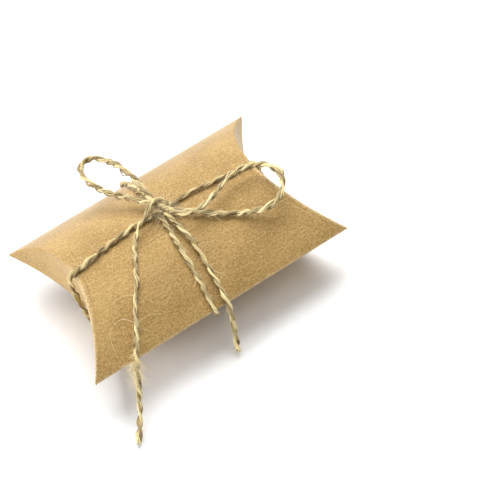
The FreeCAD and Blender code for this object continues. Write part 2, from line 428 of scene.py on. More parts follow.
def panelSheet(endX, scoreDepth):
    near = np.array(cardMesh["creaseColumns"]) * mm
    limit = endX - creaseRadius
    middle = np.linspace(-1, 1, cardMesh["panelColumns"])[1:-1]
    x = np.concatenate([-limit + near, middle * (limit - near[-1]), limit - near[::-1]], 1)
    inFromEnd = limit - np.abs(x)
    groove = scoreDepth * scoreShape(inFromEnd) * np.clip(rowHeight / card["scoreFade"], 0, 1)
    normal = np.repeat(panelNormal, x.shape[1], 1)
    flatPart = grid(x, rowY, rowZ) - normal * groove[..., None]
    turn = firstHalf[1:]
    bends = len(turn)
    across = limit + creaseRadius * np.sin(turn)
    height = rowZ - creaseRadius * (1 - np.cos(turn))
    left, right = (grid(side * across, rowY, height) for side in (-1, 1))
    outer = np.concatenate([left[:, ::-1], flatPart, right], 1)
    normal = np.concatenate([creaseNormal(turn, -1)[:, ::-1], normal, creaseNormal(turn, 1)], 1)
    thick = np.full(outer.shape[:2], card["thick"])
    for step in range(bends):
        thick[:, [step, -1 - step]] += (creaseThick - card["thick"]) * (1 - step / bends)
    lip = np.ones_like(thick)
    lip[:, bends:-bends] = lipWearAndHighlight(inFromEnd)
    # pale folds: the worn long folds, and the crease lips' painted highlight
    wearAndHighlight = np.maximum(lip * creaseLipHighlight, foldWearAndHighlight)
    return outer, normal, thick, grid(outer[..., 0], rowAlong), wearAndHighlight


# painted shade of the score groove, shown beside the front half of the left crease
def scoreShadeMark(outer):
    line = scoreShape(creaseX - creaseRadius + outer[..., 0])
    near = np.clip((scorePaintedShadeSpan["backY"] - rowY) / scorePaintedShadeSpan["backFade"], 0, 1)
    near = near * np.clip((rowY - scorePaintedShadeSpan["frontY"]) / scorePaintedShadeSpan["frontFade"], 0, 1)
    return scorePaintedShadeSpan["strength"] * line * near


def topPanel():
    sheet = panelSheet(creaseX, card["scoreDepth"])
    onBox(sheetPiece("top_panel_card", *sheet, scoreShadeMark(sheet[0])), "top_panel")


def bottomPanel():
    outer, normal, thick, uv, wearAndHighlight = panelSheet(creaseX - card["flapGap"], 0.0)
    upsideDown = np.array([1, 1, -1])
    outer = (outer - (0, 0, foldZ)) * upsideDown + (0, 0, foldZ)
    sheet = outer, normal * upsideDown, thick, uv + grainShift["bottom"], wearAndHighlight
    onBox(sheetPiece("bottom_panel_card", *(values[::-1] for values in sheet)), "bottom_panel")


def glueFlap():
    rows = ((rowY > halfWidth - card["glueWide"]) & (rowHeight > card["thick"]))[:, 0]
    x = np.linspace(-1, 1, cardMesh["glueColumns"]) * (creaseX[rows] - card["glueSetback"])
    normal = np.repeat(panelNormal[rows], x.shape[1], 1)
    outer = grid(x, rowY[rows], rowZ[rows]) - normal * (card["thick"] + card["glueGap"])
    thick = np.full(x.shape, card["thick"])
    uv = grid(x + grainShift["glueFlap"], rowAlong[rows])
    onBox(sheetPiece("glue_flap_card", outer, normal, thick, uv, np.zeros(x.shape)), "glue_flap")


def flapPiece(name, sheet, reverse):
    # the rows are reversed where the outside would face in
    piece = sheetPiece(name + "_card", *(values[::-1] if reverse else values for values in sheet))
    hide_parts(name)
    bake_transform(piece)


def outerFlap(side, name):
    across = creaseX - creaseRadius + creaseRadius * np.sin(secondHalf)
    height = rowZ - creaseRadius * (1 - np.cos(secondHalf))
    upper = rowZ - creaseRadius
    lower = 2 * foldZ - rowZ + np.minimum(card["edgeGap"], card["edgeShare"] * rowHeight)
    down = np.linspace(0, 1, cardMesh["outerFlapRows"])[1:]
    height = np.concatenate([height, upper + (lower - upper) * down], 1)
    across = np.concatenate([across, np.repeat(creaseX, len(down), 1)], 1)
    outer = grid(side * across, rowY, height)
    thick = np.repeat(creaseThick, height.shape[1], 1)
    uv = grid(height + side * grainShift["outerFlap"], rowAlong)
    # painted highlight on the outer flap's crease lip, in front only
    wearAndHighlight = lipWearAndHighlight(np.maximum(0, upper - height)) * creaseLipHighlight
    sheet = outer, flapNormals(len(down), side), thick, uv, wearAndHighlight
    flapPiece(name, sheet, side < 0)


def innerFlap(side, name):
    tipY = halfWidth - card["innerSetback"]
    rows = (np.abs(rowY) <= tipY)[:, 0]
    y, radius = rowY[rows], creaseRadius[rows]
    faceX = creaseX[rows] - card["flapGap"]
    foot = 2 * foldZ - rowZ[rows]
    across = faceX - radius * (1 - np.sin(secondHalf))
    height = foot + radius * (1 - np.cos(secondHalf))
    # the free edge is one arc from tip to tip
    peak = crownZ - card["innerTopGap"]
    edgeRise = peak - (foot[0] + card["innerTipRise"])
    edgeRadius = (tipY**2 + edgeRise**2) / (2 * edgeRise)
    edge = peak - edgeRadius + np.sqrt(edgeRadius**2 - y**2)
    up = np.linspace(0, 1, cardMesh["innerFlapRows"])[1:]
    low = foot + radius
    height = np.concatenate([height, low + np.maximum(edge - low, card["innerLeast"]) * up], 1)
    across = np.concatenate([across, np.repeat(faceX, len(up), 1)], 1)
    outer = grid(side * across, y, height)
    normal = flapNormals(len(up), side)[rows] * (1, 1, -1)
    thick = np.full(height.shape, card["thick"])
    uv = grid(height + side * grainShift["innerFlap"], rowAlong[rows])
    wearAndHighlight = lipWearAndHighlight(np.maximum(0, height - low))
    flapPiece(name, (outer, normal, thick, uv, wearAndHighlight), side > 0)


topPanel()
bottomPanel()
glueFlap()
for side, sideName in ((-1, "left"), (1, "right")):
    outerFlap(side, sideName + "_outer_flap")
    innerFlap(side, sideName + "_inner_flap")
print("card pieces folded")


# jute twine

jute = {
    "light": (1.0, 0.89, 0.52, 1),
    "mid": (0.86, 0.67, 0.30, 1),
    "dark": (0.16, 0.085, 0.016, 1),
    "hair": (0.97, 0.88, 0.62, 1),
    "rough": 0.5,
    "gloss": 0.4,
    "sheen": 0.08,
    "sheenRough": 0.5,
    "fibre": (9000, 9000, 420),  # per metre, across and along a bundle
    "fibreStart": 9,  # metres of pattern in which a bundle's own stretch begins
    "fibreRange": ((0.32, 0), (0.55, 1)),
    "patch": (700, 700, 170),
    "patchShift": 6.4,
    "patchRange": ((0.42, 0.5), (0.58, 0)),
    "bump": 0.05 * mm,
    "bumpStrength": 0.9,
    "hairTint": 900,
    "hairRange": ((0.4, 0), (0.6, 1)),
}

twine = {
    "diameter": 2.0 * mm,
    "pitch": 8.2 * mm,  # one turn of the two plies
    "plyRadius": 0.40 * mm,
    "plyOff": 0.37 * mm,  # middle of a ply to the middle of the twine
    "plyTone": 0.46,  # the second ply is the browner one
    "paintedUnderShade": 0.85,  # painted shade: both plies are darker where they lie below the twine's middle
    "darkest": 0.9,
    "coreSize": 0.6,  # a ply's core, against the ply
    # painted shade: the core's dark tone stands for the shade between the bundles
    "corePaintedShade": 0.8,
    "bundles": 6,  # bundles of fibres round a ply
    "bundleSides": 5,
    "bundleTurn": 24 * mm,  # length in which a bundle goes once round its ply
    "bundleStray": 0.3,  # how far it strays from its even place round the ply
    "bundleOff": 0.62,  # middle of a bundle to the middle of its ply, against the ply's radius
    "bundleSize": (0.30, 0.50),  # against the ply's radius
    "bundleTones": (0.0, 0.0, 0.03, 0.1, 0.26),
    "bundleRoom": 0.8,  # share of a bundle's radius that is kept clear of the card
    "looseEvery": 68 * mm,  # length of a bundle between the places where it springs out
    "looseWide": (1.2, 2.8),  # in millimetres
    "looseRise": (0.15, 0.5),
    "step": 0.34 * mm,
}

# unevenness along a strand: wave lengths in millimetres, and size
twineWaves = {
    "turn": ((9, 17, 31), 0.8),
    "plyTurn": ((6, 13), 0.3),
    "plyOff": ((5, 11, 23), 0.25),
    "plyRadius": ((4.3, 7.9, 15), 0.26),
    "bundleTurn": ((8, 19), 0.4),
    "bundleOff": ((5, 9, 14), 0.2),
    "bundleRadius": ((3.7, 8.3), 0.3),
    "bundleTone": ((6, 21), 0.12),
}

# a cut end opens out over this length, and turns paler
frayed = {
    "length": 2.6 * mm,
    "plyIn": 0.4,
    "bundleOut": 0.15,
    # the core's painted shade fades where the end opens
    "corePaler": 0.6,
    "bundlePaler": 0.3,
    "endSteps": 4,  # bundles end within this many steps of each other
}

hairs = {
    "perMetre": 4000,
    "length": (0.8 * mm, 3.8 * mm),
    "lengthMix": (1.2, 3.2),  # most are short
    "outward": (0.1, 0.9),
    "ahead": (0.4, 1.0),
    "curl": 0.45,
    "steps": 7,
    "radius": 0.04 * mm,
    "taper": 1.15,  # a little over 1, so that the tip has a width
    "room": 0.06 * mm,
    "bareEnd": 6,  # steps at the end of a strand that grow none
    "upright": 0.9,  # rise above which a hair's sides are taken from X
}

# keeps the random draws for one strand apart
seedShift = {"fibres": 500, "hairs": 1000, "nextStretch": 7}


def juteMaterial():
    material, tree, shader = newMaterial("juteTwine")
    # fibres are drawn out along each bundle
    bundle = markOf(tree, "alongBundle", "Vector")
    fibre = noiseAt(tree, scaled(tree, bundle, jute["fibre"]), 1.0, detail=3, rough=0.6)
    patch = noiseAt(tree, scaled(tree, bundle, jute["patch"], shift=jute["patchShift"]), 1.0)
    colour = mixColour(tree, ramp(tree, fibre, jute["fibreRange"]), jute["mid"], jute["light"])
    colour = mixColour(tree, ramp(tree, patch, jute["patchRange"]), colour, jute["mid"])
    # the bundle tone is random tone plus painted shade: the dark core, the underside and whole strands
    colour = mixColour(tree, markOf(tree, "bundleTone"), colour, jute["dark"])
    normal = bumpFrom(tree, fibre, jute["bump"], jute["bumpStrength"])
    setInputs(tree, shader, {"Base Color": colour, "Normal": normal, **finishOf(jute)})
    return material


def hairMaterial():
    material, tree, shader = newMaterial("juteHair")
    tint = ramp(tree, noiseAt(tree, objectPlace(tree), jute["hairTint"]), jute["hairRange"])
    colour = mixColour(tree, tint, jute["mid"], jute["hair"])
    setInputs(tree, shader, {"Base Color": colour, "Roughness": jute["rough"]})
    return material


juteTwine = juteMaterial()
juteHair = hairMaterial()


def evenly(points, step):
    # points at even steps along a line of points
    along = lengthAlong(points)
    place = np.linspace(0, along[-1], int(round(along[-1] / step)) + 1)
    return np.stack([np.interp(place, along, points[:, k]) for k in range(3)], 1), place


def carriedFrames(points):
    # directions carried along a line without twisting
    tangent = unit(np.gradient(points, axis=0))
    across = np.zeros_like(points)
    across[0] = unit(np.cross(tangent[0], (0.0, 0.0, 1.0)))  # no strand starts upright
    for k in range(1, len(points)):
        across[k] = unit(across[k - 1] - tangent[k] * (across[k - 1] @ tangent[k]))
    return tangent, across, np.cross(tangent, across)


def waves(rng, place, kind):
    lengths, size = twineWaves[kind]
    total = np.zeros_like(place)
    for length in lengths:
        total += np.sin(2 * math.pi * place / (length * mm) + rng.uniform(0, 2 * math.pi))
    return size * total / len(lengths)


def clearOfCard(points, clearance):
    # pushes points out of the closed box and up off the floor
    flat = points.reshape(-1, 3).copy()
    room = np.broadcast_to(clearance, points.shape[:-1]).reshape(-1)
    y = np.clip(flat[:, 1], -halfWidth, halfWidth)
    toTop = flat[:, 1:] - (0, archCentreZ)
    toBottom = flat[:, 1:] - (0, 2 * foldZ - archCentreZ)
    inTop = archRadius + room - np.linalg.norm(toTop, axis=1)
    inBottom = archRadius + room - np.linalg.norm(toBottom, axis=1)
    endX = crestX + archRadius - np.sqrt(archRadius**2 - y**2)
    inEnd = endX + room - np.abs(flat[:, 0])
    depth = np.minimum(np.minimum(inTop, inBottom), inEnd)
    inside = depth > 0
    fromTop = inside & (depth == inTop)
    fromBottom = inside & ~fromTop & (depth == inBottom)
    fromEnd = inside & ~fromTop & ~fromBottom
    flat[fromTop, 1:] += unit(toTop[fromTop]) * inTop[fromTop, None]
    flat[fromBottom, 1:] += unit(toBottom[fromBottom]) * inBottom[fromBottom, None]
    flat[fromEnd, 0] += np.sign(flat[fromEnd, 0]) * inEnd[fromEnd]
    flat[:, 2] = np.maximum(flat[:, 2], room)
    return flat.reshape(points.shape)


def spinTwine(points, seed, slack=1.0, cutEnd=False, girth=(1.0,), paintedShade=0.0):
    # two plies turn round each other to the left, each a ring of fibre bundles on a core painted dark as
    # shade between the bundles
    rng = np.random.default_rng(seed)
    points, place = evenly(points, twine["step"])
    tangent, across, above = carriedFrames(points)
    turn = -2 * math.pi * place / twine["pitch"] + waves(rng, place, "turn")
    opened = np.clip(1 - (place[-1] - place) / frayed["length"], 0, 1) ** 2 * cutEnd
    grow = np.interp(place / place[-1], np.linspace(0, 1, len(girth)), girth)
    bundles = []

    def offset(radius, spot):
        return radius[:, None] * (np.cos(spot)[:, None] * across + np.sin(spot)[:, None] * above)

    def addBundle(line, radius, tone, core):
        bundles.append({"line": line, "radius": radius, "tone": tone, "core": core})

    for ply in range(2):
        spot = turn + ply * math.pi + waves(rng, place, "plyTurn")
        spread = 1 + waves(rng, place, "plyOff") - frayed["plyIn"] * opened
        size = twine["plyRadius"] * grow * (1 + waves(rng, place, "plyRadius"))
        middle = points + offset(twine["plyOff"] * slack * grow * spread, spot)
        # the core is painted dark as shade between the bundles, paler where the end opens
        addBundle(middle, twine["coreSize"] * size, twine["corePaintedShade"] - frayed["corePaler"] * opened, True)
        for bundle in range(twine["bundles"]):
            stray = rng.uniform(-twine["bundleStray"], twine["bundleStray"])
            lay = 2 * math.pi * (bundle + stray) / twine["bundles"]
            lay = lay - 2 * math.pi * place / twine["bundleTurn"] + waves(rng, place, "bundleTurn")
            off = size * (twine["bundleOff"] + waves(rng, place, "bundleOff") + frayed["bundleOut"] * opened)
            for loose in range(rng.poisson(place[-1] / twine["looseEvery"])):
                looseAt, wide = rng.uniform(0, place[-1]), rng.uniform(*twine["looseWide"]) * mm
                off = off + rng.uniform(*twine["looseRise"]) * mm * np.exp(-(((place - looseAt) / wide) ** 2))
            radius = size * rng.uniform(*twine["bundleSize"]) * (1 + waves(rng, place, "bundleRadius"))
            tone = rng.choice(twine["bundleTones"]) + twine["plyTone"] * ply + waves(rng, place, "bundleTone")
            # painted shade for the whole strand
            tone = tone + paintedShade - frayed["bundlePaler"] * opened
            addBundle(middle + offset(off, lay), radius, np.clip(tone, 0, 1), False)
    for bundle in bundles:
        bundle["line"] = clearOfCard(bundle["line"], bundle["radius"] * twine["bundleRoom"])
        # painted shade underneath: bundles below the twine's middle are darkened
        under = np.clip((points[:, 2] - bundle["line"][:, 2]) / twine["plyOff"], 0, 1)
        bundle["tone"] = np.clip(bundle["tone"] + twine["paintedUnderShade"] * under, 0, twine["darkest"])
        bundle["ends"] = rng.integers(0, frayed["endSteps"]) if cutEnd and not bundle["core"] else 0
    spun = {"line": points, "place": place, "along": tangent, "across": across, "above": above}
    return {**spun, "bundles": bundles}


def cutTwine(spun, begin, end):
    # one stretch of a longer piece of twine
    keep = (spun["place"] >= begin - twine["step"] / 2) & (spun["place"] <= end + twine["step"])
    cut = {key: spun[key][keep] for key in ("line", "place", "along", "across", "above")}
    cut["bundles"] = [
        {key: value[keep] if np.ndim(value) else value for key, value in bundle.items()}
        for bundle in spun["bundles"]
    ]
    return cut


def bundleMesh(spun, bundle, shift):
    # one bundle as a closed tube, with its own coordinates for the fibres
    last = len(bundle["line"]) - bundle["ends"]
    line, radius = bundle["line"][:last], bundle["radius"][:last]
    across, above = spun["across"][:last], spun["above"][:last]
    sides = twine["bundleSides"]
    spots = 2 * math.pi * np.arange(sides) / sides
    ring = np.cos(spots)[None, :, None] * across[:, None] + np.sin(spots)[None, :, None] * above[:, None]
    verts = line[:, None] + radius[:, None, None] * ring
    along = lengthAlong(line)[:, None] + shift
    coords = grid(np.cos(spots) * radius[:, None], np.sin(spots) * radius[:, None], along)
    index = np.arange(last * sides).reshape(last, sides)
    onward = np.roll(index, -1, 1)
    faces = np.stack([index[:-1], onward[:-1], onward[1:], index[1:]], -1).reshape(-1, 4).tolist()
    faces += [index[0, ::-1].tolist(), index[-1].tolist()]
    return verts.reshape(-1, 3), faces, coords.reshape(-1, 3), np.repeat(bundle["tone"][:last], sides)


def hairMesh(lines, radius):
    # many fine three-sided hairs, each row of lines one hair
    steps = lines.shape[1]
    tangent = unit(np.gradient(lines, axis=1))
    upright = np.abs(tangent[..., 2:3]) > hairs["upright"]
    across = unit(np.cross(tangent, np.where(upright, (1.0, 0, 0), (0, 0, 1.0))))
    above = np.cross(tangent, across)
    size = radius * (hairs["taper"] - np.linspace(0, 1, steps))[None, :, None]
    spots = [2 * math.pi * k / 3 for k in range(3)]
    verts = np.stack([lines + size * (math.cos(s) * across + math.sin(s) * above) for s in spots], 2)
    index = np.arange(verts.size // 3).reshape(len(lines), steps, 3)
    onward = np.roll(index, -1, 2)
    faces = np.stack([index[:, :-1], onward[:, :-1], onward[:, 1:], index[:, 1:]], -1).reshape(-1, 4)
    caps = np.concatenate([index[:, 0, ::-1], index[:, -1]])
    return verts.reshape(-1, 3), faces.tolist() + caps.tolist()


def curledLines(starts, directions, bends, lengths):
    share = np.linspace(0, 1, hairs["steps"])[None, :, None]
    ways = share * directions[:, None] + share**2 * bends[:, None]
    return starts[:, None] + lengths[:, None, None] * ways


def fuzzLines(spun, seed):
    rng = np.random.default_rng(seed + seedShift["hairs"])
    count = int((spun["place"][-1] - spun["place"][0]) * hairs["perMetre"])
    at = rng.integers(1, len(spun["line"]) - hairs["bareEnd"], count)
    outer = [bundle for bundle in spun["bundles"] if not bundle["core"]]
    root = np.stack([outer[b]["line"][k] for b, k in zip(rng.integers(0, len(outer), count), at)])
    outward = unit(root - spun["line"][at])
    ahead = rng.choice([-1.0, 1.0], count)[:, None] * spun["along"][at]
    outward = outward * rng.uniform(*hairs["outward"], count)[:, None]
    directions = unit(outward + ahead * rng.uniform(*hairs["ahead"], count)[:, None])
    low, high = hairs["length"]
    lengths = low + (high - low) * rng.beta(*hairs["lengthMix"], count)
    lines = curledLines(root, directions, rng.normal(0, hairs["curl"], (count, 3)), lengths)
    return clearOfCard(lines, hairs["room"])


def joined(parts):
    verts, faces, base = [], [], 0
    for part in parts:
        verts.append(part[0])
        faces.extend([[k + base for k in face] for face in part[1]])
        base += len(part[0])
    return np.concatenate(verts), faces


def twinePiece(name, stretches, seed, hairy=True):
    rng = np.random.default_rng(seed + seedShift["fibres"])
    parts = []
    for spun in stretches:
        parts += [bundleMesh(spun, b, rng.uniform(0, jute["fibreStart"])) for b in spun["bundles"]]
    kinds = [0] * sum(len(part[1]) for part in parts)
    if hairy:
        lines = [fuzzLines(spun, seed + seedShift["nextStretch"] * k) for k, spun in enumerate(stretches)]
        verts, faces = hairMesh(np.concatenate(lines), hairs["radius"])
        parts.append((verts, faces, verts, np.zeros(len(verts))))
        kinds += [1] * len(faces)
    coords, tones = (np.concatenate([part[k] for part in parts]) for k in (2, 3))
    marks = {"bundleTone": tones, "alongBundle": coords}
    piece = meshPiece(name, *joined(parts), [juteTwine, juteHair], kinds, marks=marks)
    return piece


def hairPiece(name, groups, radius):
    verts, faces = joined([hairMesh(lines, radius) for lines in groups])
    piece = meshPiece(name, verts, faces, [juteHair])
    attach(piece, "box")
    return piece


# wrap: two closed rounds of the same twine, cut into the stretches that the frame has

wrap = {
    "lift": 0.94 * mm,  # card to the middle of the twine
    "standOut": (1.1 * mm, 0.2 * mm),  # how far the left and right end spans bow out
    "standOutHigh": 0.7,  # under 1 they bow out most above their middle
    "turn": 1.5 * mm,  # radius round a fold, to the middle of the twine
    "smoothOver": 4 * mm,  # length over which a change of direction is rounded
    "slackRise": 2.4 * mm,  # height over which an end span bends when its flap opens
    "sidewaysKnot": 1.4 * mm,  # at the knot, lengthwise strand to the middle of the box
    "paintedShade": (0.16, 0.09),  # painted shade: how much darker the lengthwise and crosswise rounds are
    "seed": (11, 12),
    "girth": (1.2, 1.28, 1.05, 1.0, 1.0, 1.0, 0.92),  # thickness along the lengthwise round
    # places along X, and how far the lengthwise strand strays from the middle there
    "topLeft": ((-10 * mm, 1.5 * mm), (-21 * mm, -0.1 * mm)),
    "leftEnd": (-2.3 * mm, -1.6 * mm),
    "rightEnd": (-2.2 * mm, -1.5 * mm),
    "topRight": ((25 * mm, -0.5 * mm), (11 * mm, 1.8 * mm)),
    # places along Y, and how far the crosswise strand lies along X there
    "frontTop": ((-1 * mm, -0.7 * mm), (-16 * mm, -1.7 * mm)),
    "frontFold": -3.2 * mm,
    "backFold": -1.3 * mm,
    "backTop": (3 * mm, 0.2 * mm),
}

wrapSteps = {"creaseTurn": 10, "arch": 110, "foldTurn": 9}

# where one round passes under the other, below the box
crossing = {
    "place": (-2.2 * mm, -1.0 * mm),
    "reach": 1.6 * mm,
    "levelled": 0.6,  # share by which the strands are brought to one level
    "apart": 0.5 * mm,
    "thinned": 0.25,
}


def roundedRun(corners, radius, step):
    # straight runs with round corners, and the length at which each corner's turn starts and ends
    corners = [np.asarray(c, float) for c in corners]
    points, marks, length = [corners[0]], [], 0.0

    def goTo(target):
        nonlocal length
        start = points[-1]
        span = np.linalg.norm(target - start)
        for share in np.linspace(0, 1, int(span / step) + 1)[1:]:
            points.append(start + (target - start) * share)
        length += span

    for before, corner, after in zip(corners, corners[1:], corners[2:]):
        into = (corner - before) / np.linalg.norm(corner - before)
        out = (after - corner) / np.linalg.norm(after - corner)
        goTo(corner - into * radius)
        begin = length
        centre = corner - into * radius + out * radius
        for share in np.linspace(0, 1, wrapSteps["creaseTurn"])[1:]:
            spot = share * math.pi / 2
            points.append(centre - out * radius * math.cos(spot) + into * radius * math.sin(spot))
        length += radius * math.pi / 2
        marks.append((begin, length))
    goTo(corners[-1])
    return np.array(points), marks, length


def smoothTable(place, table):
    raw = np.interp(place, *zip(*table))
    width = int(wrap["smoothOver"] / (place[1] - place[0]))
    kernel = np.hanning(2 * width + 1)
    kernel /= kernel.sum()
    padded = np.concatenate([np.full(width, raw[0]), raw, np.full(width, raw[-1])])
    return np.convolve(padded, kernel, "valid")


def lengthwiseRound():
    lift = wrap["lift"]
    outX, topZ, lowZ = crestX + lift, crownZ + lift, baseZ - lift
    folds = [(-outX, 0, topZ), (-outX, 0, lowZ), (outX, 0, lowZ), (outX, 0, topZ)]
    knotAt = (0, 0, topZ)
    points, turns, length = roundedRun([knotAt, *folds, knotAt], wrap["turn"], twine["step"])
    points, place = evenly(points, twine["step"])
    begins, ends = zip(*turns)
    table = [(0.0, wrap["sidewaysKnot"])]
    table += [(-x, y) for x, y in wrap["topLeft"]]
    table += zip(begins, wrap["leftEnd"] + wrap["rightEnd"])
    table += [(length - x, y) for x, y in wrap["topRight"]]
    table.append((length, wrap["sidewaysKnot"]))
    points[:, 1] = smoothTable(place, table)
    # the free spans bow out from the hollow ends
    down = np.clip((topZ - points[:, 2]) / (topZ - lowZ), 0, 1)
    leftOut, rightOut = wrap["standOut"]
    out = np.where(points[:, 0] < 0, -leftOut, rightOut) * (np.abs(points[:, 0]) > crestX)
    points[:, 0] += out * np.sin(math.pi * down ** wrap["standOutHigh"])
    upper = points[:, 2] > foldZ
    points[upper, 2] -= archRadius - np.sqrt(archRadius**2 - points[upper, 1] ** 2)
    return points, {
        "topLeft": (0, begins[0]),
        "leftEnd": (begins[0], ends[1]),
        "under": (ends[1], begins[2]),
        "rightEnd": (begins[2], ends[3]),
        "topRight": (ends[3], length),
    }


def crosswiseRound():
    lift, turn = wrap["lift"], wrap["turn"]
    reach = archRadius + lift
    turnY = math.sqrt((reach - turn) ** 2 - (foldZ - archCentreZ) ** 2)
    lean = math.asin(turnY / (reach - turn))
    spots = np.linspace(0, -lean, wrapSteps["arch"])
    bend = np.linspace(-lean, -math.pi / 2, wrapSteps["foldTurn"])[1:]
    quarter = [(reach * math.sin(s), archCentreZ + reach * math.cos(s)) for s in spots]
    quarter += [(-turnY + turn * math.sin(s), foldZ + turn * math.cos(s)) for s in bend]
    quarter = np.array(quarter)
    below = quarter[::-1][1:] * (1, -1) + (0, 2 * foldZ)
    half = np.concatenate([quarter, below])
    whole = np.concatenate([half, half[::-1][1:] * (-1, 1)])
    points = np.stack([np.zeros(len(whole)), whole[:, 0], whole[:, 1]], 1)
    points, place = evenly(points, twine["step"])
    length = place[-1]
    frontFold, backFold = length / 4, 3 * length / 4
    backY, backX = wrap["backTop"]
    table = [(0.0, wrap["frontTop"][0][1])]
    table += [(-y, x) for y, x in wrap["frontTop"]]
    table += [(frontFold, wrap["frontFold"]), (backFold, wrap["backFold"])]
    table += [(length - backY, backX), (length, backX)]
    points[:, 0] = smoothTable(place, table)
    return points, {"front": (0, frontFold), "under": (frontFold, backFold), "back": (backFold, length)}


def pressFlat(spun, way):
    # squeezed flat where the other strand crosses underneath
    level = baseZ / 2
    for bundle in spun["bundles"]:
        line = bundle["line"]
        away = np.linalg.norm(line[:, :2] - crossing["place"], axis=1)
        near = np.exp(-((away / crossing["reach"]) ** 4)) * (line[:, 2] < foldZ)
        line[:, 2] += near * ((level - line[:, 2]) * crossing["levelled"] + way * crossing["apart"])
        bundle["radius"] = bundle["radius"] * (1 - crossing["thinned"] * near)


def wraps():
    points, spans = lengthwiseRound()
    acrossPoints, acrossSpans = crosswiseRound()
    lengthwise = spinTwine(points, wrap["seed"][0], girth=wrap["girth"], paintedShade=wrap["paintedShade"][0])
    crosswise = spinTwine(acrossPoints, wrap["seed"][1], paintedShade=wrap["paintedShade"][1])
    pressFlat(lengthwise, 1)
    pressFlat(crosswise, -1)
    for node, spun, span, seed in (
        ("twine_top_left", lengthwise, spans["topLeft"], 34),
        ("twine_top_right", lengthwise, spans["topRight"], 35),
        ("twine_under_lengthwise", lengthwise, spans["under"], 42),
        ("twine_front", crosswise, acrossSpans["front"], 31),
        ("twine_under_crosswise", crosswise, acrossSpans["under"], 41),
        ("twine_back", crosswise, acrossSpans["back"], 30),
    ):
        onBox(twinePiece(node + "_strand", [cutTwine(spun, *span)], seed), node)
    for side, sideName, seed in ((-1, "left", 59), (1, "right", 61)):
        node = "twine_" + sideName + "_end"
        piece = twinePiece(node + "_strand", [cutTwine(lengthwise, *spans[sideName + "End"])], seed)
        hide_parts(node)
        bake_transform(piece)


wraps()
print("twine wrapped round the box")


# bow: two loops, two tails and the knot that holds them

